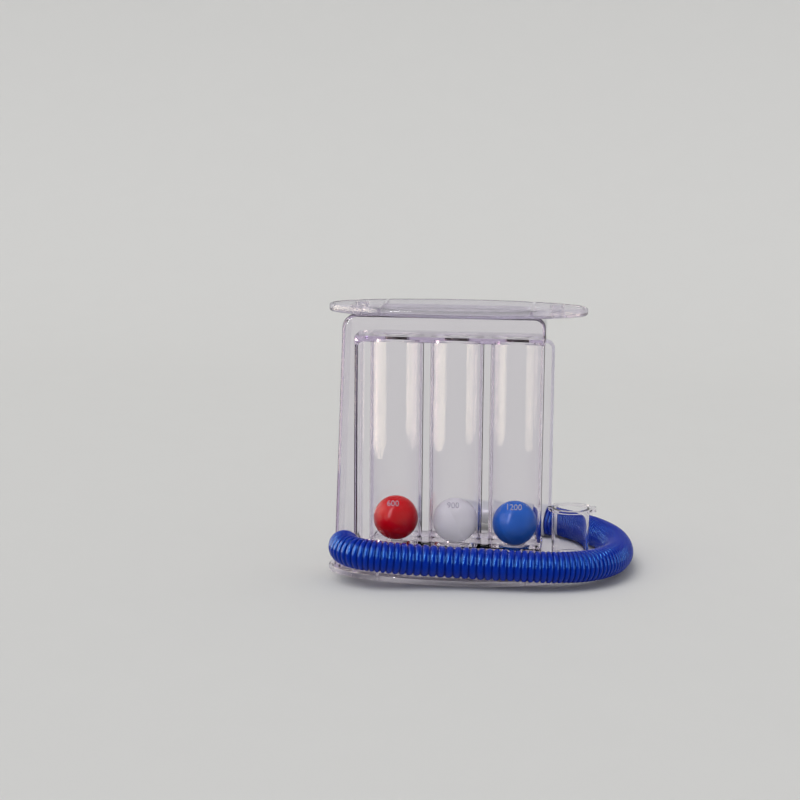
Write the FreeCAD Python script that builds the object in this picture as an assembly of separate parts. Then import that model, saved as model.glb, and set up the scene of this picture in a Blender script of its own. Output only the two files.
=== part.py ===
import FreeCAD
import Part
import math
import os

from FreeCAD import Vector

# Incentive spirometer with three balls, in millimetres.
# The origin is the centre of the lower plate's underside, +X is to the right as the user sees the
# columns, -Y is towards the user and +Z is up.

# Balls and columns, numbered from the duct's side
ball_diameter = 25.0
ball_wall = 0.9
ball_clearance = 0.5          # radial, between a ball and its column
ball_seat_gap = 0.2           # between a ball and the rim of the hole that it rests on or stops at
column_count = 3
column_pitch = 33.3
column_wall = 1.8
column_height = 114.5         # from the seat strip to the stop strip

# Body: chamber under the columns, collecting channel over them, duct at the left
chamber_height = 14.5
channel_height = 13.5
case_wall = 1.8
case_step = 0.6               # how far chamber and channel stand proud of the columns
case_edge_radius = 2.6        # rounding of the long outer edges
channel_end_radius = 6.0
duct_shoulder_radius = 8.0
duct_throat_radius = 3.0
duct_gap = 4.7                # between the chamber and the duct
duct_foot_width = 12.8
duct_head_width = 8.4
flange_thickness = 1.5        # of one half
flange_overhang = 4.8         # past the right end of the chamber
flange_corner_radius = 5.0

# Strips clamped between the two halves
strip_thickness = 1.5
strip_groove_depth = 0.8
strip_clearance = 0.1
seat_hole_diameters = (8.0, 10.0, 12.0)
stop_hole_diameter = 15.0
vent_slot_length = 9.0
vent_slot_height = 2.0
vent_slot_rise = 4.0          # from the floor of the chamber to the first slot
vent_slot_spacing = 4.0
vent_slot_rows = 2

# Upper and lower plate, trays with an oval plan
plate_length = 142.0
plate_width = 58.0
plate_height = 4.5
plate_floor = 1.8
plate_rim = 1.8
plate_edge_radius = 0.6
plate_rib_x = 41.0
plate_rib_thickness = 1.5
plate_boss_x = 54.0
plate_boss_y = 9.5
plate_boss_diameter = 8.0
plate_boss_bore = 5.0

# Hose port on the duct's foot
port_rise = 14.5              # over the lower plate
port_boss_diameter = 15.6
port_boss_reach = 0.8         # in front of the duct
port_root_diameter = 10.6
port_root_clearance = 0.02
port_bore = 8.0
port_collar_diameter = 15.0
port_collar_thickness = 1.2
port_spigot_diameter = 12.6
port_spigot_length = 5.5
port_barb_height = 0.3
port_barb_length = 2.0

# Mouthpiece cup
cup_gap = 0.4                 # between the flange and the cup's wall
cup_notch_clearance = 0.2     # round the flange, in the notch of the rim
cup_rim_height = 35.5         # over the lower plate
cup_bore = 18.4
cup_wall = 1.1
cup_floor = 1.6
cup_rim_diameter = 25.0
cup_rim_thickness = 1.4
cup_foot_diameter = 13.0
cup_taper_height = 9.0
cup_tab_reach = 14.0          # from the cup's axis to the tab's end
cup_tab_width = 9.0
cup_gusset_height = 9.5
cup_gusset_thickness = 1.6

# Hose and mouthpiece
hose_diameter = 17.4
hose_bore = 13.4
hose_play = 0.3               # between the hose and the lower plate
table_play = 0.1              # between the hose or its mouthpiece and the table
hose_lead = 7.8               # from the port to the hose's first bend
hose_arc_share = 0.45         # of the shorter run beside a bend, taken up by its arc
mouthpiece_length = 58.0
mouthpiece_socket_diameter = 19.6
mouthpiece_socket_bore = 17.5
mouthpiece_socket_depth = 12.0
mouthpiece_neck_diameter = 15.0
mouthpiece_neck_length = 16.0
mouthpiece_tip_width = 21.0
mouthpiece_tip_height = 12.5
mouthpiece_wall = 1.3
mouthpiece_stop_gap = 0.05    # between the hose's end and the step inside the socket

# Levels and places that follow
column_bore_radius = ball_diameter / 2 + ball_clearance
column_outer_radius = column_bore_radius + column_wall
column_xs = [column_pitch * (i - (column_count - 1) / 2) for i in range(column_count)]
body_floor_z = plate_height
seat_z = body_floor_z + chamber_height
stop_z = seat_z + column_height
body_top_z = stop_z + channel_height
overall_height = body_top_z + plate_height
case_half_depth = column_outer_radius + case_step
case_end_x = column_xs[-1] + column_outer_radius + case_step
duct_inner_x = -(case_end_x + duct_gap)
duct_foot_x = duct_inner_x - duct_foot_width
duct_head_x = duct_inner_x - duct_head_width
flange_right_x = case_end_x + flange_overhang
cup_x = flange_right_x + cup_gap + cup_wall + cup_bore / 2
beyond = 2 * plate_length     # reach of a cut that goes past the whole body


def duct_outer_x(z):
    """X of the duct's slanting outer wall at a height."""
    share = (z - body_floor_z) / (body_top_z - body_floor_z)
    return duct_foot_x + share * (duct_head_x - duct_foot_x)


port_z = body_floor_z + port_rise
port_x = (duct_outer_x(port_z) + duct_inner_x) / 2
port_face_y = -(case_half_depth + port_boss_reach)


def rounded_face(corners):
    """Face in the XZ plane from corners (x, z, radius), each rounded by an arc."""
    starts, edges = [], []
    count = len(corners)
    for i, (x, z, radius) in enumerate(corners):
        corner = Vector(x, 0, z)
        before = Vector(corners[i - 1][0], 0, corners[i - 1][1]) - corner
        after = Vector(corners[(i + 1) % count][0], 0, corners[(i + 1) % count][1]) - corner
        before.normalize()
        after.normalize()
        if radius <= 0:
            starts.append((corner, corner))
            continue
        half = before.getAngle(after) / 2
        middle = before + after
        middle.normalize()
        tangent = radius / math.tan(half)
        first = corner + before * tangent
        last = corner + after * tangent
        crown = corner + middle * (radius / math.sin(half) - radius)
        edges.append(Part.Arc(first, crown, last).toShape())
        starts.append((first, last))
    for i in range(count):
        edges.append(Part.LineSegment(starts[i - 1][1], starts[i][0]).toShape())
    return Part.Face(Part.Wire(Part.__sortEdges__(edges)))


def through(face, half_depth):
    """Solid that carries a face of the XZ plane to both sides of the parting plane."""
    placed = face.translated(Vector(0, -half_depth, 0))
    return placed.extrude(Vector(0, 2 * half_depth, 0))


def round_face_edges(solid, half_depth, radius):
    """Round the edges that lie in the front and the rear face of a solid."""
    edges = [e for e in solid.Edges
             if all(abs(abs(v.Y) - half_depth) < 1e-6 for v in e.Vertexes)
             and abs(e.Vertexes[0].Y - e.Vertexes[-1].Y) < 1e-6]
    return solid.makeFillet(radius, edges)


def fuse(solids):
    """One solid from several that overlap."""
    return solids[0].multiFuse(solids[1:]).removeSplitter()


def channel_outline(inset):
    """Duct and collecting channel in one outline, drawn in by a wall."""
    low = body_floor_z + inset
    top = body_top_z - inset
    ledge = stop_z - case_wall + inset
    throat = duct_throat_radius + inset
    return rounded_face([
        (duct_outer_x(low) + inset, low, 0),
        (duct_outer_x(top) + inset, top, duct_shoulder_radius - inset),
        (case_end_x - inset, top, channel_end_radius - inset),
        (case_end_x - inset, ledge, 0),
        (duct_inner_x - inset, ledge, throat),
        (duct_inner_x - inset, low, 0),
    ])


def chamber_outline(inset):
    """Inlet chamber under the columns, with rounded upper corners."""
    low = body_floor_z + inset
    top = seat_z + case_wall - inset
    radius = duct_throat_radius - inset
    return rounded_face([
        (-case_end_x + inset, low, 0),
        (-case_end_x + inset, top, radius),
        (case_end_x - inset, top, radius),
        (case_end_x - inset, low, 0),
    ])


def strip_blank(z, clearance):
    """Plate clamped in the grooves of both halves, with its lower face at z."""
    half_length = case_end_x - case_wall + strip_groove_depth
    half_depth = case_half_depth - case_wall + strip_groove_depth
    length = 2 * (half_length + clearance)
    depth = 2 * (half_depth + clearance)
    return Part.makeBox(length, depth, strip_thickness, Vector(-length / 2, -depth / 2, z))


def body_solid():
    """Both halves of the body in one, before they are parted."""
    outer = [
        round_face_edges(through(channel_outline(0), case_half_depth), case_half_depth, case_edge_radius),
        round_face_edges(through(chamber_outline(0), case_half_depth), case_half_depth, case_edge_radius),
        through(rounded_face([
            (duct_inner_x - case_wall / 2, body_floor_z, 0),
            (duct_inner_x - case_wall / 2, stop_z, 0),
            (flange_right_x, stop_z, flange_corner_radius),
            (flange_right_x, body_floor_z, 0),
        ]), flange_thickness),
        Part.makeCylinder(port_boss_diameter / 2, port_boss_reach + case_half_depth / 2,
                          Vector(port_x, port_face_y, port_z), Vector(0, 1, 0)),
    ]
    for x in column_xs:
        base = Vector(x, 0, seat_z)
        outer.append(Part.makeCylinder(column_outer_radius, column_height, base))
    body = fuse(outer)

    inner_depth = case_half_depth - case_wall
    channel = through(channel_outline(case_wall), inner_depth)
    chamber = through(chamber_outline(case_wall), inner_depth)
    channel_floor_z = stop_z + strip_thickness
    channel_floor = Part.makeBox(beyond, 2 * inner_depth, column_height,
                                 Vector(duct_inner_x - case_wall, -inner_depth,
                                        channel_floor_z - column_height))
    chamber_roof = Part.makeBox(2 * beyond, 2 * inner_depth, column_height,
                                Vector(-beyond, -inner_depth, seat_z - strip_thickness))
    cavities = [
        channel.cut(channel_floor),
        chamber.cut(chamber_roof),
        strip_blank(seat_z - strip_thickness, strip_clearance),
        strip_blank(stop_z, strip_clearance),
        Part.makeCylinder(port_root_diameter / 2 + port_root_clearance,
                          port_boss_reach + 2 * case_wall,
                          Vector(port_x, port_face_y, port_z), Vector(0, 1, 0)),
    ]
    for x in column_xs:
        base = Vector(x, 0, seat_z)
        cavities.append(Part.makeCylinder(column_bore_radius, column_height, base))
        for row in range(vent_slot_rows):
            z = body_floor_z + case_wall + vent_slot_rise + row * vent_slot_spacing
            cavities.append(vent_slot(x, z))
    return body.cut(cavities)


def vent_slot(x, z):
    """Slot with round ends through the rear wall of the chamber."""
    radius = vent_slot_height / 2
    half = vent_slot_length / 2 - radius
    inside_y = case_half_depth - 2 * case_wall
    reach = 3 * case_wall
    middle = Part.makeBox(2 * half, reach, vent_slot_height, Vector(x - half, inside_y, z - radius))
    ends = [Part.makeCylinder(radius, reach, Vector(x + side * half, inside_y, z), Vector(0, 1, 0))
            for side in (-1, 1)]
    return fuse([middle] + ends)


def half_of(body, side):
    """Part of the body on one side of the parting plane, -1 for the front and 1 for the rear."""
    corner = Vector(-beyond, 0 if side > 0 else -beyond, -beyond)
    return body.common(Part.makeBox(2 * beyond, beyond, 2 * beyond, corner))


def strip(z, hole_diameters):
    """Strip with one hole at the axis of each column."""
    blank = strip_blank(z, 0)
    holes = [Part.makeCylinder(d / 2, 3 * strip_thickness, Vector(x, 0, z - strip_thickness))
             for x, d in zip(column_xs, hole_diameters)]
    return blank.cut(holes)


def oval(length, width, z):
    """Face with an elliptical outline at a height."""
    curve = Part.Ellipse(Vector(0, 0, z), length / 2, width / 2)
    return Part.Face(Part.Wire([curve.toShape()]))


def plate():
    """Tray with its floor on top and its rim, two cross ribs, a spine between them and bosses
    hanging down to z = 0."""
    blank = oval(plate_length, plate_width, 0).extrude(Vector(0, 0, plate_height))
    blank = blank.makeFillet(plate_edge_radius, [e for e in blank.Edges if e.BoundBox.ZLength < 1e-6])
    hollow_height = plate_height - plate_floor
    hollow = oval(plate_length - 2 * plate_rim, plate_width - 2 * plate_rim, 0)
    hollow = hollow.extrude(Vector(0, 0, hollow_height))
    left = [Part.makeBox(2 * plate_rib_x, plate_rib_thickness, hollow_height,
                         Vector(-plate_rib_x, -plate_rib_thickness / 2, 0))]
    for side in (-1, 1):
        left.append(Part.makeBox(plate_rib_thickness, plate_width, hollow_height,
                                 Vector(side * plate_rib_x - plate_rib_thickness / 2, -plate_width / 2, 0)))
        for boss_y in (-plate_boss_y, plate_boss_y):
            left.append(Part.makeCylinder(plate_boss_diameter / 2, hollow_height,
                                          Vector(side * plate_boss_x, boss_y, 0)))
    tray = blank.cut(hollow.cut(left))
    bores = [Part.makeCylinder(plate_boss_bore / 2, 2 * plate_height,
                               Vector(side * plate_boss_x, y, -plate_height / 2))
             for side in (-1, 1) for y in (-plate_boss_y, plate_boss_y)]
    return tray.cut(bores)


def revolved(profile, axis_base, axis_direction):
    """Solid of revolution from (radius, distance) points, about an axis along Z at the origin,
    then turned to a direction and moved to its base."""
    points = [Vector(r, 0, d) for r, d in profile]
    face = Part.Face(Part.makePolygon(points + points[:1]))
    solid = face.revolve(Vector(0, 0, 0), Vector(0, 0, 1), 360)
    turn = FreeCAD.Rotation(Vector(0, 0, 1), axis_direction)
    return solid.transformed(FreeCAD.Placement(axis_base, turn).toMatrix(), True)


def hose_port():
    """Spigot with a root in the duct's wall, a collar, a barb and a bore right through."""
    bore = port_bore / 2
    root = port_root_diameter / 2
    spigot = port_spigot_diameter / 2
    collar_end = port_collar_thickness
    tip = collar_end + port_spigot_length
    profile = [
        (bore, -(port_boss_reach + case_wall)),
        (root, -(port_boss_reach + case_wall)),
        (root, 0),
        (port_collar_diameter / 2, 0),
        (port_collar_diameter / 2, collar_end),
        (spigot, collar_end),
        (spigot, tip - port_barb_length),
        (spigot + port_barb_height, tip - port_barb_length),
        (spigot - port_barb_height, tip),
        (bore, tip),
    ]
    return revolved(profile, Vector(port_x, port_face_y, port_z), Vector(0, -1, 0))


def mouthpiece_cup():
    """Cup with a tapered foot and a wide rim, which is notched round the flange of the body at its
    inner side and has a tab on a gusset at its outer side."""
    bore = cup_bore / 2
    outer = bore + cup_wall
    foot = cup_foot_diameter / 2
    profile = [
        (0, 0),
        (foot, 0),
        (outer, cup_taper_height),
        (outer, cup_rim_height - cup_rim_thickness),
        (cup_rim_diameter / 2, cup_rim_height - cup_rim_thickness),
        (cup_rim_diameter / 2, cup_rim_height),
        (0, cup_rim_height),
    ]
    base = Vector(cup_x, 0, plate_height)
    body = revolved(profile, base, Vector(0, 0, 1))
    rim_under = plate_height + cup_rim_height - cup_rim_thickness
    tab = Part.makeBox(cup_tab_reach, cup_tab_width, cup_rim_thickness,
                       Vector(cup_x, -cup_tab_width / 2, rim_under))
    tab = tab.makeFillet(cup_rim_thickness, [e for e in tab.Edges if e.BoundBox.ZLength > 1e-6
                                            and e.BoundBox.XMin > cup_x + 1e-6])
    corner = Vector(cup_x, 0, rim_under)
    gusset = Part.Face(Part.makePolygon([
        corner, corner + Vector(cup_tab_reach - cup_rim_thickness, 0, 0),
        corner + Vector(outer, 0, -cup_gusset_height), corner + Vector(0, 0, -cup_gusset_height), corner]))
    gusset = gusset.translated(Vector(0, -cup_gusset_thickness / 2, 0))
    gusset = gusset.extrude(Vector(0, cup_gusset_thickness, 0))
    inner = revolved([
        (0, cup_floor),
        (foot - cup_wall, cup_floor),
        (bore, cup_taper_height),
        (bore, cup_rim_height + 1),
        (0, cup_rim_height + 1),
    ], base, Vector(0, 0, 1))
    notch_half = flange_thickness + cup_notch_clearance
    notch = Part.makeBox(cup_rim_diameter, 2 * notch_half, cup_rim_height,
                         Vector(flange_right_x + cup_notch_clearance - cup_rim_diameter, -notch_half,
                                rim_under - cup_rim_thickness))
    return fuse([body, tab, gusset]).cut([inner, notch])


def ball(z):
    """Hollow ball with its centre at a height."""
    outer = Part.makeSphere(ball_diameter / 2)
    inner = Part.makeSphere(ball_diameter / 2 - ball_wall)
    return outer.cut(inner).translated(Vector(0, 0, z))


def ball_height_over_hole(diameter):
    """Distance from a hole's rim to the centre of a ball that rests on it."""
    return math.sqrt((ball_diameter / 2) ** 2 - (diameter / 2) ** 2) + ball_seat_gap


# Hose route, from the port round the front and the right side to the table behind the body
lying_z = hose_diameter / 2 + table_play
front_z = plate_height + hose_diameter / 2 + hose_play
socket_z = mouthpiece_socket_diameter / 2 + table_play
hose_start_y = port_face_y - port_collar_thickness
route = [
    (port_x, hose_start_y, port_z),
    (port_x, hose_start_y - hose_lead, port_z),
    (-55.3, -32.3, 18.9),
    (-47.9, -36.9, 18.4),
    (-36.0, -37.6, 17.4),
    (-18.0, -33.2, 15.4),
    (6.0, -30.6, front_z + 0.6),
    (33.0, -31.0, front_z),
    (54.0, -29.6, 12.9),
    (72.5, -22.6, 12.2),
    (86.0, -8.0, 11.0),
    (92.0, 12.0, 9.7),
    (92.6, 34.0, lying_z),
    (87.6, 57.0, lying_z),
    (75.5, 78.5, lying_z),
    (57.6, 93.6, 9.2),
    (38.0, 99.6, socket_z),
]


def route_parts(points):
    """Straight runs joined by tangent arcs, with the radius of each arc."""
    knots = [Vector(*p) for p in points]
    edges, radii = [], []
    reached = knots[0]
    for before, corner, after in zip(knots, knots[1:], knots[2:]):
        back = before - corner
        ahead = after - corner
        shorter = min(back.Length, ahead.Length)
        back.normalize()
        ahead.normalize()
        turn = math.pi - back.getAngle(ahead)
        tangent = hose_arc_share * shorter
        radius = tangent / math.tan(turn / 2)
        inward = back + ahead
        inward.normalize()
        first = corner + back * tangent
        last = corner + ahead * tangent
        crown = corner + inward * (radius / math.cos(turn / 2) - radius)
        edges.append(Part.LineSegment(reached, first).toShape())
        edges.append(Part.Arc(first, crown, last).toShape())
        radii.append(radius)
        reached = last
    edges.append(Part.LineSegment(reached, knots[-1]).toShape())
    return edges, radii


def hose():
    """Plain tube along the route."""
    edges, radii = route_parts(route)
    path = Part.Wire(edges)
    start = Vector(*route[0])
    direction = Vector(*route[1]) - start
    outer = Part.Wire([Part.makeCircle(hose_diameter / 2, start, direction)])
    inner = Part.Wire([Part.makeCircle(hose_bore / 2, start, direction)])
    tube = path.makePipeShell([outer], True, True)
    tube = tube.cut(path.makePipeShell([inner], True, True))
    expected = math.pi / 4 * (hose_diameter ** 2 - hose_bore ** 2) * path.Length
    print("hose radii", [round(r, 1) for r in radii])
    print("hose length", round(path.Length, 1), "volume ratio", round(tube.Volume / expected, 4))
    return tube


def oval_wire(width, height, distance):
    """Elliptical section of the mouthpiece across its own Z axis."""
    if abs(width - height) < 1e-6:
        return Part.Wire([Part.makeCircle(width / 2, Vector(0, 0, distance), Vector(0, 0, 1))])
    curve = Part.Ellipse(Vector(0, 0, distance), width / 2, height / 2)
    return Part.Wire([curve.toShape()])


def mouthpiece():
    """Socket for the hose's end, round neck and a tube that turns oval at the lips."""
    hose_end = Vector(*route[-1])
    outward = hose_end - Vector(*route[-2])
    outward.normalize()
    step = mouthpiece_socket_depth + mouthpiece_wall
    neck_end = step + mouthpiece_neck_length
    tip = mouthpiece_length
    socket = Part.makeCylinder(mouthpiece_socket_diameter / 2, step)
    neck = Part.makeCylinder(mouthpiece_neck_diameter / 2, neck_end)
    lips = Part.makeLoft([
        oval_wire(mouthpiece_neck_diameter, mouthpiece_neck_diameter, neck_end),
        oval_wire(mouthpiece_tip_width, mouthpiece_tip_height, tip),
    ], True)
    outer = fuse([socket, neck, lips])
    bore = mouthpiece_neck_diameter - 2 * mouthpiece_wall
    hollow_lips = Part.makeLoft([
        oval_wire(bore, bore, neck_end),
        oval_wire(mouthpiece_tip_width - 2 * mouthpiece_wall, mouthpiece_tip_height - 2 * mouthpiece_wall, tip),
    ], True)
    hollow = [
        Part.makeCylinder(mouthpiece_socket_bore / 2, mouthpiece_socket_depth),
        Part.makeCylinder(bore / 2, neck_end),
        hollow_lips,
    ]
    solid = outer.cut(hollow)
    across = Vector(0, 0, 1).cross(outward)
    turn = FreeCAD.Rotation(across, Vector(), outward, "ZXY")
    base = hose_end - outward * (mouthpiece_socket_depth - mouthpiece_stop_gap)
    print("mouthpiece axis", [round(c, 5) for c in outward], "base", [round(c, 3) for c in base])
    return solid.transformed(FreeCAD.Placement(base, turn).toMatrix(), True)


body = body_solid()
upside_down = FreeCAD.Placement(Vector(0, 0, overall_height), FreeCAD.Rotation(Vector(1, 0, 0), 180))

nodes = {
    "front_shell": half_of(body, -1),
    "rear_shell": half_of(body, 1),
    "lower_base_plate": plate(),
    "upper_base_plate": plate().transformed(upside_down.toMatrix(), True),
    "lower_seat_strip": strip(seat_z - strip_thickness, seat_hole_diameters),
    "upper_stop_strip": strip(stop_z, [stop_hole_diameter] * column_count),
    "hose_port": hose_port(),
    "mouthpiece_cup": mouthpiece_cup(),
    "hose": hose(),
    "mouthpiece": mouthpiece(),
}
for name, x, hole in zip(("ball_red", "ball_white", "ball_blue"), column_xs, seat_hole_diameters):
    rest_z = seat_z + ball_height_over_hole(hole)
    travel = stop_z - ball_height_over_hole(stop_hole_diameter) - rest_z
    nodes[name] = ball(rest_z).translated(Vector(x, 0, 0))
    print(name, "centre z", round(rest_z, 3), "travel", round(travel, 3))

os.makedirs("parts", exist_ok=True)
for name, shape in nodes.items():
    print(name, "solids", len(shape.Solids), "valid", shape.isValid(), "volume", round(shape.Volume, 1))
    shape.exportStep("parts/" + name + ".step")
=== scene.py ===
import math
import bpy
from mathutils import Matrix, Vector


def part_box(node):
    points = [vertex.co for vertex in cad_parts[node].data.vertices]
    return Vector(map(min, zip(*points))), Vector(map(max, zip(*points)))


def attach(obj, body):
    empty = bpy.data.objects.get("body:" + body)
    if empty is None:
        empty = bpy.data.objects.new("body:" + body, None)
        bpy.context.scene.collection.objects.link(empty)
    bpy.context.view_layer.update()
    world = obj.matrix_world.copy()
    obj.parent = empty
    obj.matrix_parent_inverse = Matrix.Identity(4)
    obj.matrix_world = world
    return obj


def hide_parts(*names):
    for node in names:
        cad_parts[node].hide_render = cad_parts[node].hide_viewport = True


bl_info = {
    "name": "Incentive Spirometer",
    "version": (1, 0, 0),
    "blender": (4, 5, 0),
    "location": "View3D > Sidebar > Spirometer",
    "description": "Dresses the frame of a three-ball breathing exerciser",
    "category": "Object",
}

import bmesh
import bpy
from mathutils import Matrix, Vector, geometry, kdtree

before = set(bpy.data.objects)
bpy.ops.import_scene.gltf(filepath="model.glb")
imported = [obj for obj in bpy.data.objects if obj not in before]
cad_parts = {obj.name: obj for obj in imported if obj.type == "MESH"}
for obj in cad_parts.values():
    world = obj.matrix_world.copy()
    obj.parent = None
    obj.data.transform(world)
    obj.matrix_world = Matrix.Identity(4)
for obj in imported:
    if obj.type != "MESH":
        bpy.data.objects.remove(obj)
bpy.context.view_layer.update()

MM = 0.001
HAIR = 0.02 * MM
BODY = "body"
CLEAR_SLOT = "clear_plastic"
SHELLS = ("front_shell", "rear_shell")
BALLS = ("ball_red", "ball_white", "ball_blue")

# Half of one ring of the hose, from valley to crest, as shares of its pitch and of its depth
RING = ((0.00, 0.00), (0.05, 0.22), (0.10, 0.46), (0.17, 0.68),
        (0.26, 0.85), (0.37, 0.96), (0.50, 1.00))

# Hose route in metres, the construction's points with three of them moved to follow the photograph
HOSE_ROUTE = (
    (-0.0596, -0.0174, 0.0190),
    (-0.0596, -0.0252, 0.0190),
    (-0.0553, -0.0323, 0.0189),
    (-0.0479, -0.0369, 0.0184),
    (-0.0360, -0.0376, 0.0174),
    (-0.0180, -0.0332, 0.0154),
    (0.0060, -0.0306, 0.0141),
    (0.0330, -0.0310, 0.0135),
    (0.0540, -0.0296, 0.0129),
    (0.0725, -0.0226, 0.0122),
    (0.0852, -0.0084, 0.0118),
    (0.0909, 0.0116, 0.0104),
    (0.0916, 0.0344, 0.0090),
    (0.0876, 0.0570, 0.0088),
    (0.0755, 0.0785, 0.0088),
    (0.0576, 0.0936, 0.0092),
    (0.0380, 0.0996, 0.0099),
)

# Clear plastic: refraction, reach of the tint along its surface, absorption and shadow
CLEAR_INDEX = 1.22
CLEAR_BLEND = 0.15
CLEAR_DENSITY = 20.0
CLEAR_SHADOW = (0.93, 0.925, 0.95, 1.0)

# Moulded and hose plastic: refraction where it lets light in, clouds, and streaks of the hose
MILKY_INDEX = 1.15
CLOUD_SCALE = 110.0
STREAK_SCALE = 240.0
STREAK_DETAIL = 4.0
STREAK_SHARE = 0.3
HOSE_ROUGHNESS = 0.14
HOSE_SHINE = 0.5
HOSE_SHINE_COLOUR = (0.12, 0.45, 1.0, 1.0)

# Bumps of a surface: scale and detail of their noise, strength, and depth in metres
RIPPLE = (45.0, 1.0, 0.07, 0.0006)
PEEL = (900.0, 2.0, 0.08, 0.0002)
HOSE_PEEL = (700.0, 2.0, 0.1, 0.0002)


def number_prop(name, description, default):
    return bpy.props.FloatProperty(name=name, description=description, default=default)


def length_prop(name, description, default):
    return bpy.props.FloatProperty(name=name, description=description, default=default,
                                   unit="LENGTH", precision=5)


def angle_prop(name, description, degrees):
    return bpy.props.FloatProperty(name=name, description=description,
                                   default=math.radians(degrees), subtype="ANGLE")


def colour_prop(name, description, default):
    return bpy.props.FloatVectorProperty(name=name, description=description, default=default,
                                         subtype="COLOR", size=3, min=0.0, max=1.0)


class ViewSettings(bpy.types.PropertyGroup):
    """Where the photograph was taken from"""

    distance: length_prop("Distance", "From the camera to the middle of the columns", 1.0)
    target_height: length_prop("Target height", "Height of the middle of the columns", 0.075)
    azimuth: angle_prop("Azimuth", "How far the camera stands to the right", 4.43)
    elevation: angle_prop("Elevation", "How far the camera looks down", 10.83)
    roll: angle_prop("Roll", "How far the camera is turned about its own axis", 0.838)
    focal_pixels: number_prop("Focal length", "In pixels of the picture", 1801.0)
    picture_pixels: number_prop("Picture", "Width of the picture in pixels", 800.0)
    target_x_pixel: number_prop("Target X", "Pixel column of the target", 456.1)
    target_y_pixel: number_prop("Target Y", "Pixel row of the target", 441.9)


class HoseSettings(bpy.types.PropertyGroup):
    """Sizes of the corrugated hose"""

    diameter: length_prop("Diameter", "Over the rings", 17.4 * MM)
    bore: length_prop("Bore", "Inside the hose", 13.4 * MM)
    real_length: length_prop("Length", "From the port to the mouthpiece", 0.300)
    ring_pitch: length_prop("Ring pitch", "From one ring to the next", 2.5 * MM)
    stretch: number_prop("Stretch", "How much wider the rings stand where the hose is pulled", 0.78)
    stretch_middle: length_prop("Stretch middle", "From the port to the widest rings", 0.066)
    stretch_before: length_prop("Stretch before", "From there back to even rings", 0.038)
    stretch_after: length_prop("Stretch after", "From there on to even rings", 0.070)
    ring_depth: length_prop("Ring depth", "From crest to valley", 1.1 * MM)
    cuff: length_prop("Cuff", "Smooth stretch at each end", 2.2 * MM)


class FinishSettings(bpy.types.PropertyGroup):
    """Colours of the mouldings"""

    clear: colour_prop("Clear plastic", "Clear plastic seen square on", (0.970, 0.965, 0.975))
    clear_edge: colour_prop("Clear edge", "Clear plastic along its surface", (0.80, 0.77, 0.84))
    deep: colour_prop("Depth tint", "What passes through thick plastic", (0.33, 0.08, 0.55))
    plate_deep: colour_prop("Plate depth", "What passes through a plate", (0.30, 0.22, 0.45))
    plate: colour_prop("Clear plates", "Plates seen square on", (0.90, 0.885, 0.92))
    plate_edge: colour_prop("Plate edge", "Plates seen along their surface", (0.74, 0.71, 0.79))
    weld: colour_prop("Weld", "Frosted weld bead seen square on", (0.93, 0.915, 0.95))
    # Painted shade: a dark colour for the front walls of the stop strip's holes
    hole_shade: colour_prop("Hole walls", "Walls of the stop strip's holes", (0.05, 0.035, 0.04))
    number: colour_prop("Numbers", "Raised numbers", (0.50, 0.46, 0.54))
    hose: colour_prop("Hose", "Crests of the hose", (0.0002, 0.017, 0.33))
    # Painted shade: the darker blue put in the hose's valleys between the rings
    hose_valley_shade: colour_prop("Hose valley", "Valleys of the hose", (0.0002, 0.008, 0.16))
    red: colour_prop("Red ball", "First ball", (0.64, 0.0012, 0.006))
    white: colour_prop("White ball", "Second ball", (0.97, 0.97, 0.99))
    blue: colour_prop("Blue ball", "Third ball", (0.014, 0.125, 0.56))
    mouthpiece: colour_prop("Mouthpiece", "Mouthpiece", (0.55, 0.55, 0.57))
    floor: colour_prop("Floor", "Floor and backdrop", (0.70, 0.69, 0.665))


def deselect():
    bpy.ops.object.select_all(action="DESELECT")


def select_only(piece):
    deselect()
    piece.select_set(True)
    bpy.context.view_layer.objects.active = piece


def select_edges(piece, wanted):
    """Select, in edit mode, only the edges whose two ends pass a test."""
    bpy.ops.mesh.select_mode(type="EDGE")
    bpy.ops.mesh.select_all(action="DESELECT")
    shape = bmesh.from_edit_mesh(piece.data)
    for edge in shape.edges:
        if all(wanted(v.co) for v in edge.verts):
            edge.select = True
    bmesh.update_edit_mesh(piece.data)


def name_piece(name):
    """Name the active object and its data."""
    piece = bpy.context.active_object
    piece.name = name
    piece.data.name = name
    return piece


def add_piece(name, shape, smooth):
    """Make a piece of a bmesh, with its faces outward."""
    bmesh.ops.recalc_face_normals(shape, faces=shape.faces)
    for face in shape.faces:
        face.smooth = smooth
    mesh = bpy.data.meshes.new(name)
    shape.to_mesh(mesh)
    shape.free()
    piece = bpy.data.objects.new(name, mesh)
    bpy.context.scene.collection.objects.link(piece)
    return piece


def apply_place(piece):
    select_only(piece)
    bpy.ops.object.transform_apply(location=True, rotation=True, scale=True)


def dress(piece, material):
    piece.data.materials.clear()
    piece.data.materials.append(material)


def settle(piece, body, slot, *nodes):
    """Let a finished piece ride on a body and stand for construction nodes, which it hides; the
    slot is not used.
    """
    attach(piece, body)
    if nodes:
        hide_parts(*nodes)


def ball_centre(node):
    low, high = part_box(node)
    return (low + high) / 2


def new_material(name, values):
    """Make a material whose main shader has the values given by the names of its inputs."""
    material = bpy.data.materials.new(name)
    material.use_nodes = True
    tree = material.node_tree
    shader = tree.nodes["Principled BSDF"]
    for key, value in values.items():
        shader.inputs[key].default_value = value
    return material, tree, shader


def add_node(tree, kind, **values):
    node = tree.nodes.new(kind)
    for key, value in values.items():
        if key in node.inputs:
            node.inputs[key].default_value = value
        else:
            setattr(node, key, value)
    return node


def math_node(tree, operation, *values, clamp=False):
    """Work out a value from others, each of them a number or the output of a node."""
    node = add_node(tree, "ShaderNodeMath", operation=operation, use_clamp=clamp)
    for value, socket in zip(values, node.inputs):
        if isinstance(value, float):
            socket.default_value = value
        else:
            tree.links.new(value, socket)
    return node.outputs["Value"]


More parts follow.
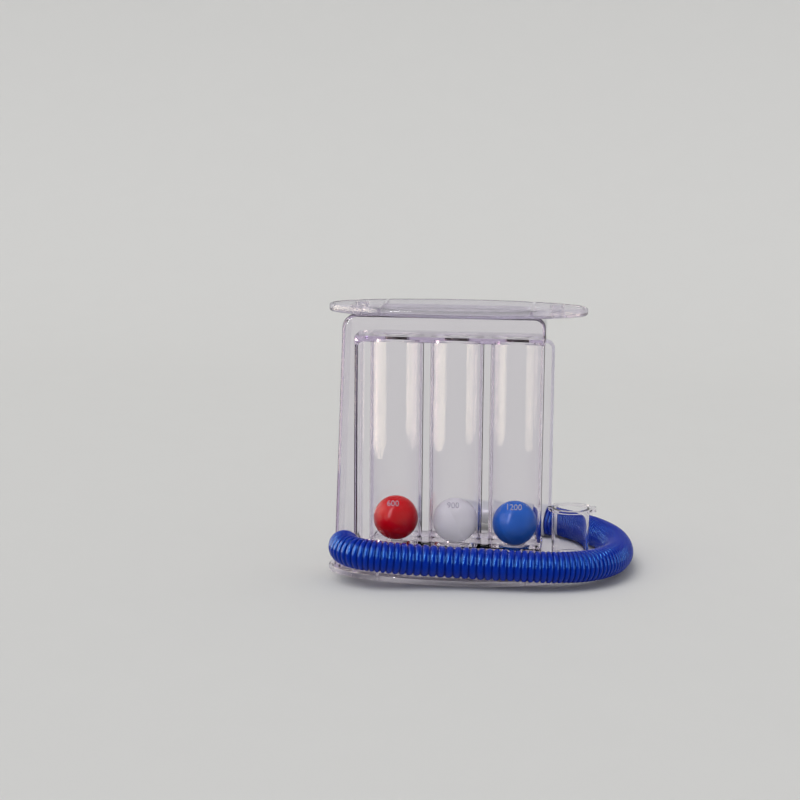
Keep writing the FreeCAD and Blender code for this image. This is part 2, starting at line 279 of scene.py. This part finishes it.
def object_noise(tree, scale, detail=3.0):
    place = add_node(tree, "ShaderNodeTexCoord")
    noise = add_node(tree, "ShaderNodeTexNoise", Scale=scale, Detail=detail)
    tree.links.new(place.outputs["Object"], noise.inputs["Vector"])
    return noise.outputs["Fac"]


def bump_surface(tree, shader, scale, detail, strength, depth):
    bump = add_node(tree, "ShaderNodeBump", Strength=strength, Distance=depth)
    tree.links.new(object_noise(tree, scale, detail), bump.inputs["Height"])
    tree.links.new(bump.outputs["Normal"], shader.inputs["Normal"])


def tint_surface(tree, shader, factor, first, second):
    """Colour a shader from the first colour to the second as a factor goes from 0 to 1."""
    mix = add_node(tree, "ShaderNodeMix", data_type="RGBA")
    tree.links.new(factor, mix.inputs["Factor"])
    mix.inputs["A"].default_value = (*first, 1.0)
    mix.inputs["B"].default_value = (*second, 1.0)
    tree.links.new(mix.outputs["Result"], shader.inputs["Base Color"])


def mix_shaders(tree, factor, first, second, output):
    """Send an output the first shader where a factor is 0 and the second where it is 1."""
    mix = add_node(tree, "ShaderNodeMixShader")
    for source, socket in zip((factor, first, second), mix.inputs):
        tree.links.new(source, socket)
    tree.links.new(mix.outputs["Shader"], output.inputs["Surface"])


def clear_material(name, square_on, along, deep, clearness, roughness):
    """Clear polystyrene, a little milky, lavender along its surface and through its thickness."""
    material, tree, shader = new_material(name, {
        "Transmission Weight": clearness, "Roughness": roughness, "IOR": CLEAR_INDEX})
    facing = add_node(tree, "ShaderNodeLayerWeight", Blend=CLEAR_BLEND)
    tint_surface(tree, shader, facing.outputs["Facing"], square_on, along)
    bump_surface(tree, shader, *RIPPLE)
    rays = add_node(tree, "ShaderNodeLightPath")
    through = add_node(tree, "ShaderNodeBsdfTransparent", Color=CLEAR_SHADOW)
    output = tree.nodes["Material Output"]
    mix_shaders(tree, rays.outputs["Is Shadow Ray"], shader.outputs["BSDF"],
                through.outputs["BSDF"], output)
    depth = add_node(tree, "ShaderNodeVolumeAbsorption", Color=(*deep, 1.0), Density=CLEAR_DENSITY)
    tree.links.new(depth.outputs["Volume"], output.inputs["Volume"])
    return material


def moulded_material(name, colour, shade, roughness, shine=0.2, clearness=0.0):
    """Moulded plastic with faint clouds of shade and a fine orange-peel surface."""
    material, tree, shader = new_material(name, {
        "Roughness": roughness, "Specular IOR Level": shine})
    if clearness:
        shader.inputs["Transmission Weight"].default_value = clearness
        shader.inputs["IOR"].default_value = MILKY_INDEX
    clouds = object_noise(tree, CLOUD_SCALE)
    tint_surface(tree, shader, clouds, [c * shade for c in colour], colour)
    bump_surface(tree, shader, *PEEL)
    return material


def hose_material(finish):
    """Glossy blue plastic, with painted shade that darkens the valleys between the rings."""
    material, tree, shader = new_material("hose_plastic", {
        "Roughness": HOSE_ROUGHNESS, "Specular IOR Level": HOSE_SHINE,
        "Specular Tint": HOSE_SHINE_COLOUR})
    # Painted shade: the crest attribute blends from the darker valley blue to the crest blue
    crest = add_node(tree, "ShaderNodeAttribute", attribute_name="crest")
    streaks = object_noise(tree, STREAK_SCALE, STREAK_DETAIL)
    share = math_node(tree, "MULTIPLY_ADD", streaks, STREAK_SHARE, crest.outputs["Fac"])
    tint_surface(tree, shader, share, finish.hose_valley_shade, finish.hose)
    bump_surface(tree, shader, *HOSE_PEEL)
    return material


class SPIRO_OT_camera(bpy.types.Operator):
    """Set the camera at the photograph's viewing angle"""

    bl_idname = "spiro.camera"
    bl_label = "Camera"

    sensor_width = 36.0
    clip_start = 0.01

    def execute(self, context):
        view = context.scene.spiro_view
        target = Vector((0.0, 0.0, view.target_height))
        back = Vector((math.sin(view.azimuth) * math.cos(view.elevation),
                       -math.cos(view.azimuth) * math.cos(view.elevation),
                       math.sin(view.elevation)))
        right = Vector((math.cos(view.azimuth), math.sin(view.azimuth), 0.0))
        axes = Matrix((right, back.cross(right), back)).transposed()
        half = view.picture_pixels / 2
        pan = math.atan((view.target_x_pixel - half) / view.focal_pixels)
        tilt = math.atan((view.target_y_pixel - half) / view.focal_pixels)
        axes = axes @ Matrix.Rotation(view.roll, 3, "Z")
        axes = axes @ Matrix.Rotation(pan, 3, "Y") @ Matrix.Rotation(tilt, 3, "X")
        deselect()
        bpy.ops.object.camera_add(location=target + back * view.distance)
        camera = context.active_object
        camera.name = "photo_camera"
        camera.rotation_euler = axes.to_euler()
        camera.data.sensor_width = self.sensor_width
        camera.data.lens = view.focal_pixels / view.picture_pixels * self.sensor_width
        camera.data.clip_start = self.clip_start
        context.scene.camera = camera
        return {"FINISHED"}


def hose_centreline():
    """Points along the smooth line of the hose, read from a spline through the route."""
    curve = bpy.data.curves.new("hose_route", "CURVE")
    curve.dimensions = "3D"
    curve.resolution_u = 24
    spline = curve.splines.new("NURBS")
    spline.points.add(len(HOSE_ROUTE) - 1)
    for point, place in zip(spline.points, HOSE_ROUTE):
        point.co = (*place, 1.0)
    spline.order_u = 3
    spline.use_endpoint_u = True
    holder = bpy.data.objects.new("hose_route", curve)
    bpy.context.scene.collection.objects.link(holder)
    mesh = bpy.data.meshes.new_from_object(holder)
    points = [v.co.copy() for v in mesh.vertices]
    bpy.data.objects.remove(holder)
    bpy.data.curves.remove(curve)
    bpy.data.meshes.remove(mesh)
    return points


class Track:
    """A polyline that gives its point and a turning-free frame at a distance along it."""

    def __init__(self, points):
        self.points = points
        self.marks = [0.0]
        for a, b in zip(points, points[1:]):
            self.marks.append(self.marks[-1] + (b - a).length)
        self.length = self.marks[-1]
        self.sides = []
        side = Vector((0.0, 0.0, 1.0))
        for i in range(len(points)):
            along = self.direction(i)
            side = (side - along * side.dot(along)).normalized()
            self.sides.append(side.copy())

    def direction(self, i):
        last = len(self.points) - 1
        return (self.points[min(i + 1, last)] - self.points[max(i - 1, 0)]).normalized()

    def at(self, distance):
        i = 0
        while i < len(self.points) - 2 and self.marks[i + 1] < distance:
            i += 1
        share = (distance - self.marks[i]) / (self.marks[i + 1] - self.marks[i])
        place = self.points[i].lerp(self.points[i + 1], share)
        along = self.direction(i).lerp(self.direction(i + 1), share).normalized()
        side = self.sides[i].lerp(self.sides[i + 1], share)
        side = (side - along * side.dot(along)).normalized()
        return place, along, side


class SPIRO_OT_hose(bpy.types.Operator):
    """Build the corrugated hose along its route"""

    bl_idname = "spiro.hose"
    bl_label = "Hose"

    around = 40
    bore_steps = 150
    cuff_row = 0.6

    def profile(self, hose, length):
        """Rows along the outside of the hose, as (distance, radius, crest)."""
        valley = hose.diameter / 2 - hose.ring_depth
        rows = [(0.0, valley, 0.0), (hose.cuff * self.cuff_row, valley, 0.0)]
        ring = RING + tuple((1 - share, swell) for share, swell in RING[-2:0:-1])
        start = hose.cuff
        while start < length - hose.cuff - hose.ring_pitch / 2:
            off = start - hose.stretch_middle
            off = min(max(-off / hose.stretch_before, off / hose.stretch_after), 1.0)
            pitch = hose.ring_pitch * (1 + hose.stretch * math.cos(off * math.pi / 2))
            for share, swell in ring:
                rows.append((start + pitch * share, valley + hose.ring_depth * swell, swell))
            start += pitch
        rows += [(start, valley, 0.0), (length, valley, 0.0)]
        return rows

    def execute(self, context):
        hose = context.scene.spiro_hose
        points = hose_centreline()
        track = Track(points)
        rows = self.profile(hose, track.length)
        rows += [(track.length * (1 - i / self.bore_steps), hose.bore / 2, 0.0)
                 for i in range(self.bore_steps + 1)]
        shape = bmesh.new()
        crest_layer = shape.verts.layers.float.new("crest")
        loops = []
        for distance, radius, crest in rows:
            place, along, side = track.at(min(max(distance, 0.0), track.length))
            other = along.cross(side)
            loop = []
            for k in range(self.around):
                angle = 2 * math.pi * k / self.around
                outward = side * math.cos(angle) + other * math.sin(angle)
                vertex = shape.verts.new(place + outward * radius)
                vertex[crest_layer] = crest
                loop.append(vertex)
            loops.append(loop)
        for a, b in zip(loops, loops[1:] + loops[:1]):
            for k in range(self.around):
                n = (k + 1) % self.around
                shape.faces.new((a[k], b[k], b[n], a[n]))
        piece = add_piece("hose_tube", shape, smooth=True)
        dress(piece, hose_material(context.scene.spiro_finish))
        settle(piece, BODY, "hose_blue", "hose")
        return {"FINISHED"}


class SPIRO_OT_balls(bpy.types.Operator):
    """Model the three hollow balls, each with its weld seam"""

    bl_idname = "spiro.balls"
    bl_label = "Balls"

    segments = 64
    rings = 32
    seam_width = 0.25 * MM
    seam_height = 0.06 * MM
    seam_share = 0.2
    equator = 0.0001 * MM
    shine = 0.1

    def model(self, name, node, tilt):
        """Make a sphere of the node's size with a raised seam, turned by the tilt."""
        low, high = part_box(node)
        radius = (high.z - low.z) / 2 - self.seam_height
        deselect()
        bpy.ops.mesh.primitive_uv_sphere_add(segments=self.segments, ring_count=self.rings,
                                             radius=radius, location=(0, 0, 0))
        piece = name_piece(name)
        bpy.ops.object.mode_set(mode="EDIT")
        select_edges(piece, lambda spot: abs(spot.z) < self.equator)
        bpy.ops.mesh.bevel(offset=self.seam_width, segments=2, profile=0.5, affect="EDGES")
        shape = bmesh.from_edit_mesh(piece.data)
        for vertex in shape.verts:
            if abs(vertex.co.z) < self.seam_width * self.seam_share:
                vertex.co += vertex.co.normalized() * self.seam_height
        bmesh.update_edit_mesh(piece.data)
        bpy.ops.object.mode_set(mode="OBJECT")
        bpy.ops.object.shade_smooth()
        piece.rotation_euler = tilt
        piece.location = ball_centre(node)
        apply_place(piece)
        return piece

    def execute(self, context):
        finish = context.scene.spiro_finish
        # Body, colour, shade of its clouds, roughness, clearness and tilt of the seam
        balls = (
            ("red", finish.red, 0.9, 0.2, 0.0, (0.5, 0.3, 0.0)),
            ("white", finish.white, 0.97, 0.45, 0.55, (0.2, 1.1, 0.4)),
            ("blue", finish.blue, 0.9, 0.2, 0.0, (1.2, 0.2, 0.9)),
        )
        for body, colour, shade, roughness, clearness, tilt in balls:
            node = "ball_" + body
            piece = self.model(body + "_ball", node, tilt)
            dress(piece, moulded_material(body + "_plastic", colour, shade, roughness,
                                          shine=self.shine, clearness=clearness))
            settle(piece, body, body + "_ball", node)
        return {"FINISHED"}


class SPIRO_OT_clear_parts(bpy.types.Operator):
    """Weld the two shells into one clear body, and part the other mouldings from it by a hair"""

    bl_idname = "spiro.clear_parts"
    bl_label = "Clear mouldings"

    weld = 0.002 * MM
    built_radius = 0.6 * MM
    edge_radius = 1.6 * MM
    edge_slack = 1.02
    spot_digits = 6
    # Painted shade on the hole walls: its reach from each column's axis, its width, and how far a
    # wall's normal may point up or down
    hole_reach = 7.6 * MM
    dark_width = 12.6 * MM
    wall_slope = 0.5

    def copy_nodes(self, name, nodes):
        """Copy construction nodes into one piece that keeps their surface normals for later."""
        deselect()
        for node in nodes:
            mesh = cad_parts[node].data.copy()
            kept = mesh.attributes.new("kept_normal", "FLOAT_VECTOR", "CORNER")
            kept.data.foreach_set("vector", [c for n in mesh.corner_normals for c in n.vector])
            piece = bpy.data.objects.new(name, mesh)
            bpy.context.scene.collection.objects.link(piece)
            piece.select_set(True)
            bpy.context.view_layer.objects.active = piece
        if len(nodes) > 1:
            bpy.ops.object.join()
        return name_piece(name)

    def close(self, piece):
        """Merge the triangles of a piece and take out what lies inside a weld."""
        select_only(piece)
        bpy.ops.object.mode_set(mode="EDIT")
        bpy.ops.mesh.select_all(action="SELECT")
        bpy.ops.mesh.remove_doubles(threshold=self.weld)
        bpy.ops.mesh.select_mode(type="FACE")
        bpy.ops.mesh.select_all(action="DESELECT")
        shape = bmesh.from_edit_mesh(piece.data)
        for face in shape.faces:
            face.select = all(abs(v.co.y) < self.weld for v in face.verts)
        bmesh.update_edit_mesh(piece.data)
        if any(face.select for face in shape.faces):
            bpy.ops.mesh.delete(type="FACE")
        bpy.ops.object.mode_set(mode="OBJECT")

    def round_edges(self, piece):
        """Round the long outer edges of a plate more than the construction does."""
        vertices = piece.data.vertices
        low, high = min(v.co.z for v in vertices), max(v.co.z for v in vertices)
        flat = [v.co.xy for v in vertices]
        spots = sorted({tuple(round(c, self.spot_digits) for c in place) for place in flat})
        spots = [Vector(spot) for spot in spots]
        rim = [spots[i] for i in geometry.convex_hull_2d(spots)]
        tree = kdtree.KDTree(len(rim))
        for i, spot in enumerate(rim):
            tree.insert((spot.x, spot.y, 0.0), i)
        tree.balance()
        grow = self.edge_radius / self.built_radius
        reach = self.built_radius * self.edge_slack
        for vertex, place in zip(vertices, flat):
            level = low if vertex.co.z - low < high - vertex.co.z else high
            if abs(vertex.co.z - level) > reach:
                continue
            i = tree.find((place.x, place.y, 0.0))[1]
            sides = []
            for a, b in ((rim[i - 1], rim[i]), (rim[i], rim[(i + 1) % len(rim)])):
                share = (place - a).dot(b - a) / (b - a).length_squared
                sides.append(a.lerp(b, min(max(share, 0.0), 1.0)))
            nearest = min(sides, key=lambda spot: (spot - place).length)
            if (place - nearest).length <= reach:
                moved = nearest + (place - nearest) * grow
                vertex.co = (moved.x, moved.y, level + (vertex.co.z - level) * grow)

    def part(self, piece, direction):
        """Draw a piece in along Z by a hair, towards its bottom, middle or top."""
        heights = [v.co.z for v in piece.data.vertices]
        low, high = min(heights), max(heights)
        fixed = low + (high - low) * direction
        share = 1 - HAIR / (high - low)
        for vertex in piece.data.vertices:
            vertex.co.z = fixed + (vertex.co.z - fixed) * share

    def restore_normals(self, piece):
        select_only(piece)
        bpy.ops.object.shade_smooth()
        mesh = piece.data
        kept = mesh.attributes["kept_normal"]
        mesh.normals_split_custom_set([corner.vector for corner in kept.data])
        mesh.attributes.remove(mesh.attributes["kept_normal"])

    def shade_holes(self, strip, finish):
        """Paint shade on the front walls of the holes at the tops of the columns, a dark colour
        where the clear plastic shows dark.
        """
        strip.data.materials.append(
            moulded_material("hole_wall_painted_shade", finish.hole_shade, shade=0.7, roughness=0.3))
        axes = [ball_centre(node) for node in BALLS]
        for face in strip.data.polygons:
            if abs(face.normal.z) >= self.wall_slope:
                continue
            for axis in axes:
                corners = [strip.data.vertices[v].co - axis for v in face.vertices]
                if all(c.xy.length < self.hole_reach and abs(c.x) < self.dark_width / 2
                       and c.y < 0 for c in corners):
                    face.material_index = 1

    def execute(self, context):
        finish = context.scene.spiro_finish
        body_plastic = clear_material("body_plastic", finish.clear, finish.clear_edge,
                                      finish.deep, clearness=1.0, roughness=0.012)
        plate_plastic = clear_material("plate_plastic", finish.plate, finish.plate_edge,
                                       finish.plate_deep, clearness=0.90, roughness=0.06)
        # Piece, its nodes, its plastic, and the share of its height at which it stays put
        pieces = (
            ("clear_body", SHELLS, body_plastic, None),
            ("upper_clear_plate", ("upper_base_plate",), plate_plastic, 1.0),
            ("lower_clear_plate", ("lower_base_plate",), plate_plastic, 0.0),
            ("stop_strip", ("upper_stop_strip",), body_plastic, 0.5),
            ("seat_strip", ("lower_seat_strip",), body_plastic, 0.5),
            ("port_spigot", ("hose_port",), body_plastic, 0.5),
            ("clear_cup", ("mouthpiece_cup",), body_plastic, None),
        )
        for name, nodes, material, fixed in pieces:
            piece = self.copy_nodes(name, nodes)
            self.close(piece)
            if material == plate_plastic:
                self.round_edges(piece)
            if fixed is not None:
                self.part(piece, fixed)
            self.restore_normals(piece)
            dress(piece, material)
            settle(piece, BODY, CLEAR_SLOT, *nodes)
        self.shade_holes(bpy.data.objects["stop_strip"], finish)
        return {"FINISHED"}


class SPIRO_OT_weld_bead(bpy.types.Operator):
    """Run the frosted bead of the weld along the flange's free edge, on both of its faces"""

    bl_idname = "spiro.weld_bead"
    bl_label = "Weld bead"

    flange_half = 1.5 * MM
    corner = 5.0 * MM
    width = 1.6 * MM
    proud = 0.9 * MM
    round_off = 0.35 * MM
    cup_gap = 1.0 * MM
    steps = 10

    def execute(self, context):
        edge_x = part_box("front_shell")[1].x
        top_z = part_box("upper_stop_strip")[0].z
        foot_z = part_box("mouthpiece_cup")[1].z + self.cup_gap
        turn = Vector((edge_x - self.corner, 0.0, top_z - self.corner))
        stations = [(Vector((turn.x, 0.0, foot_z)), 0.0)]
        stations += [(turn, math.pi / 2 * i / self.steps) for i in range(self.steps + 1)]
        base = self.flange_half + HAIR
        tip = self.flange_half + self.proud
        outer, inner = self.corner, self.corner - self.width
        section = ((outer, base), (outer, tip - self.round_off), (outer - self.round_off, tip),
                   (inner + self.round_off, tip), (inner, tip - self.round_off), (inner, base))
        shape = bmesh.new()
        for side in (-1, 1):
            loops = [[shape.verts.new(centre + Vector((math.cos(angle) * reach, side * out,
                                                       math.sin(angle) * reach)))
                      for reach, out in section] for centre, angle in stations]
            for a, b in zip(loops, loops[1:]):
                for k in range(len(section)):
                    n = (k + 1) % len(section)
                    shape.faces.new((a[k], a[n], b[n], b[k]))
            shape.faces.new(loops[0])
            shape.faces.new(loops[-1])
        piece = add_piece("weld_bead", shape, smooth=False)
        finish = context.scene.spiro_finish
        dress(piece, clear_material("weld_plastic", finish.weld, finish.plate_edge,
                                    finish.plate_deep, clearness=0.75, roughness=0.3))
        settle(piece, BODY, CLEAR_SLOT)
        return {"FINISHED"}


class SPIRO_OT_mouthpiece(bpy.types.Operator):
    """Give the mouthpiece its finish"""

    bl_idname = "spiro.mouthpiece"
    bl_label = "Mouthpiece"

    def execute(self, context):
        colour = context.scene.spiro_finish.mouthpiece
        dress(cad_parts["mouthpiece"],
              moulded_material("mouthpiece_plastic", colour, shade=0.96, roughness=0.28))
        return {"FINISHED"}


class SPIRO_OT_numbers(bpy.types.Operator):
    """Raise a plain number on the front of each column"""

    bl_idname = "spiro.numbers"
    bl_label = "Column numbers"

    height = 4.6 * MM
    relief = 0.22 * MM
    level = 42.2 * MM
    column_radius = 15.04 * MM
    curve_steps = 4
    numbers = (("red", "600"), ("white", "900"), ("blue", "1200"))

    def execute(self, context):
        finish = context.scene.spiro_finish
        material = moulded_material("number_plastic", finish.number, shade=0.85, roughness=0.35)
        for body, text in self.numbers:
            centre = ball_centre("ball_" + body)
            deselect()
            bpy.ops.object.text_add(location=(0, 0, 0))
            piece = name_piece("number_" + text)
            piece.data.body = text
            piece.data.size = self.height
            piece.data.align_x = "CENTER"
            piece.data.align_y = "CENTER"
            piece.data.extrude = self.relief
            piece.data.resolution_u = self.curve_steps
            select_only(piece)
            bpy.ops.object.convert(target="MESH")
            piece = bpy.context.active_object
            piece.name = "number_" + text
            for vertex in piece.data.vertices:
                across, up, out = vertex.co
                angle = across / self.column_radius
                reach = self.column_radius + out
                vertex.co = (centre.x + reach * math.sin(angle),
                             centre.y - reach * math.cos(angle), self.level + up)
            dress(piece, material)
            settle(piece, BODY, CLEAR_SLOT)
        return {"FINISHED"}


class SPIRO_OT_stage(bpy.types.Operator):
    """Lay the pale floor and set the soft studio lights"""

    bl_idname = "spiro.stage"
    bl_label = "Stage"

    # Floor and wall in metres, with the radius of the sweep between them
    floor_size = 16.0
    wall_distance = 1.6
    wall_height = 3.0
    sweep = 0.9
    sweep_steps = 16
    near = 0.0001
    fibre_scale = 30.0
    fibre_shade = 0.985

    # Softboxes at the sides: the angles that each spans, in degrees from the front
    left_span = (-45.6, -108.6)
    right_span = (42.4, 76.4)
    side_distance = 0.41
    side_height = 0.40
    side_gap = 0.004
    side_radiance = 9.0
    side_colour = (1.0, 0.88, 0.66)

    # Tall softbox in front, which makes the streaks on the hose and the balls
    front_place = (-0.42, -0.67, 0.55)
    front_aim = (0.0, 0.0, 0.02)
    front_size = (0.12, 0.80)
    front_radiance = 40.0
    front_colour = (1.0, 1.0, 1.0)

    # Soft light from above
    ceiling_place = (-0.6, -0.8, 2.0)
    ceiling_strength = 1.2
    ceiling_angle = 40

    # Light from all round, the pale room that is seen, and how dark its mirrored front is
    sky_colour = (0.86, 0.88, 0.92, 1.0)
    sky_strength = 0.62
    room_colour = (0.70, 0.69, 0.69, 1.0)
    mirrored_range = {"From Min": -0.3, "From Max": 0.6, "To Min": 0.15}

    def floor(self, context):
        wall = self.wall_distance - self.near
        deselect()
        bpy.ops.mesh.primitive_plane_add(
            size=self.floor_size, location=(0, self.wall_distance - self.floor_size / 2, 0))
        piece = name_piece("floor")
        apply_place(piece)
        bpy.ops.object.mode_set(mode="EDIT")
        select_edges(piece, lambda spot: spot.y > wall)
        bpy.ops.mesh.extrude_region_move(
            TRANSFORM_OT_translate={"value": (0, 0, self.wall_height)})
        select_edges(piece, lambda spot: spot.y > wall and spot.z < self.near)
        bpy.ops.mesh.bevel(offset=self.sweep, segments=self.sweep_steps, profile=0.5,
                           affect="EDGES")
        bpy.ops.object.mode_set(mode="OBJECT")
        bpy.ops.object.shade_smooth()
        material, tree, shader = new_material("floor_paper", {
            "Roughness": 0.85, "Specular IOR Level": 0.0})
        colour = context.scene.spiro_finish.floor
        tint_surface(tree, shader, object_noise(tree, self.fibre_scale),
                     [c * self.fibre_shade for c in colour], colour)
        dress(piece, material)

    def softbox(self, name, place, aim, size, radiance, colour):
        """Add a softbox that lights no matt surface by itself."""
        deselect()
        bpy.ops.object.light_add(type="AREA", location=place)
        lamp = bpy.context.active_object
        lamp.name = name
        lamp.data.shape = "RECTANGLE"
        lamp.data.size, lamp.data.size_y = size
        lamp.data.energy = radiance * math.pi * size[0] * size[1]
        lamp.data.color = colour
        lamp.rotation_euler = (Vector(aim) - Vector(place)).to_track_quat("-Z", "Y").to_euler()
        lamp.visible_diffuse = False
        return lamp

    def limit(self, lamp, mirrored):
        """Let a lamp reach no path that met a matt surface, and, if mirrored, only those that
        met a shiny one."""
        lamp.data.use_nodes = True
        tree = lamp.data.node_tree
        rays = add_node(tree, "ShaderNodeLightPath")
        allowed = rays.outputs["Glossy Depth"] if mirrored else 1.0
        strength = math_node(tree, "SUBTRACT", allowed, rays.outputs["Diffuse Depth"], clamp=True)
        tree.links.new(strength, tree.nodes["Emission"].inputs["Strength"])

    def side_softbox(self, name, span, seen_through):
        """Add a tall softbox that stands on the floor and spans two angles round the object."""
        corners = [Vector((math.sin(a), -math.cos(a), 0.0)) * self.side_distance
                   for a in map(math.radians, span)]
        raised = Vector((0.0, 0.0, self.side_height / 2 + self.side_gap))
        place = (corners[0] + corners[1]) / 2 + raised
        across = corners[1] - corners[0]
        inward = Vector((-across.y, across.x, 0.0)).normalized()
        if inward.dot(place) > 0:
            inward.negate()
        lamp = self.softbox(name, place, place + inward, (across.length, self.side_height),
                            self.side_radiance, self.side_colour)
        lamp.visible_transmission = seen_through
        self.limit(lamp, mirrored=True)

    def front_softbox(self):
        lamp = self.softbox("front_softbox", self.front_place, self.front_aim, self.front_size,
                            self.front_radiance, self.front_colour)
        lamp.visible_transmission = False
        self.limit(lamp, mirrored=False)

    def ceiling(self):
        deselect()
        bpy.ops.object.light_add(type="SUN", location=self.ceiling_place)
        lamp = bpy.context.active_object
        lamp.name = "ceiling_light"
        lamp.rotation_euler = Vector(self.ceiling_place).to_track_quat("Z", "Y").to_euler()
        lamp.data.energy = self.ceiling_strength
        lamp.data.angle = math.radians(self.ceiling_angle)

    def room(self, context):
        """Add light from all round, and a pale room for what is seen, seen through or mirrored."""
        world = bpy.data.worlds.new("studio")
        world.use_nodes = True
        context.scene.world = world
        tree = world.node_tree
        sky = tree.nodes["Background"]
        sky.inputs["Color"].default_value = self.sky_colour
        sky.inputs["Strength"].default_value = self.sky_strength
        rays = add_node(tree, "ShaderNodeLightPath")
        direct = math_node(tree, "MAXIMUM", rays.outputs["Is Camera Ray"],
                           rays.outputs["Is Transmission Ray"])
        seen = math_node(tree, "MAXIMUM", direct, rays.outputs["Is Glossy Ray"])
        # What the object mirrors from in front is dark, as in a studio
        heading = add_node(tree, "ShaderNodeTexCoord")
        split = add_node(tree, "ShaderNodeSeparateXYZ")
        tree.links.new(heading.outputs["Generated"], split.inputs["Vector"])
        rear = add_node(tree, "ShaderNodeMapRange", **self.mirrored_range)
        tree.links.new(split.outputs["Y"], rear.inputs["Value"])
        strength = math_node(tree, "MAXIMUM", rear.outputs["Result"], direct)
        pale = add_node(tree, "ShaderNodeBackground", Color=self.room_colour)
        tree.links.new(strength, pale.inputs["Strength"])
        mix_shaders(tree, seen, sky.outputs["Background"], pale.outputs["Background"],
                    tree.nodes["World Output"])

    def execute(self, context):
        self.floor(context)
        self.side_softbox("left_softbox", self.left_span, seen_through=True)
        self.side_softbox("right_softbox", self.right_span, seen_through=False)
        self.front_softbox()
        self.ceiling()
        self.room(context)
        context.scene.view_settings.view_transform = "Standard"
        return {"FINISHED"}


class SPIRO_PT_panel(bpy.types.Panel):
    """Buttons that build the exerciser piece by piece"""

    bl_idname = "SPIRO_PT_panel"
    bl_label = "Spirometer"
    bl_space_type = "VIEW_3D"
    bl_region_type = "UI"
    bl_category = "Spirometer"

    def draw(self, context):
        for operator in OPERATORS:
            self.layout.operator(operator.bl_idname)


OPERATORS = (SPIRO_OT_camera, SPIRO_OT_hose, SPIRO_OT_balls, SPIRO_OT_clear_parts,
             SPIRO_OT_weld_bead, SPIRO_OT_mouthpiece, SPIRO_OT_numbers, SPIRO_OT_stage)
GROUPS = (("spiro_view", ViewSettings), ("spiro_hose", HoseSettings),
          ("spiro_finish", FinishSettings))


def register():
    for _, group in GROUPS:
        bpy.utils.register_class(group)
    for operator in OPERATORS:
        bpy.utils.register_class(operator)
    bpy.utils.register_class(SPIRO_PT_panel)
    for name, group in GROUPS:
        setattr(bpy.types.Scene, name, bpy.props.PointerProperty(type=group))


def unregister():
    for name, _ in GROUPS:
        delattr(bpy.types.Scene, name)
    bpy.utils.unregister_class(SPIRO_PT_panel)
    for operator in reversed(OPERATORS):
        bpy.utils.unregister_class(operator)
    for _, group in reversed(GROUPS):
        bpy.utils.unregister_class(group)


def main():
    register()
    for operator in OPERATORS:
        kind, name = operator.bl_idname.split(".")
        getattr(getattr(bpy.ops, kind), name)()


if __name__ == "__main__":
    main()
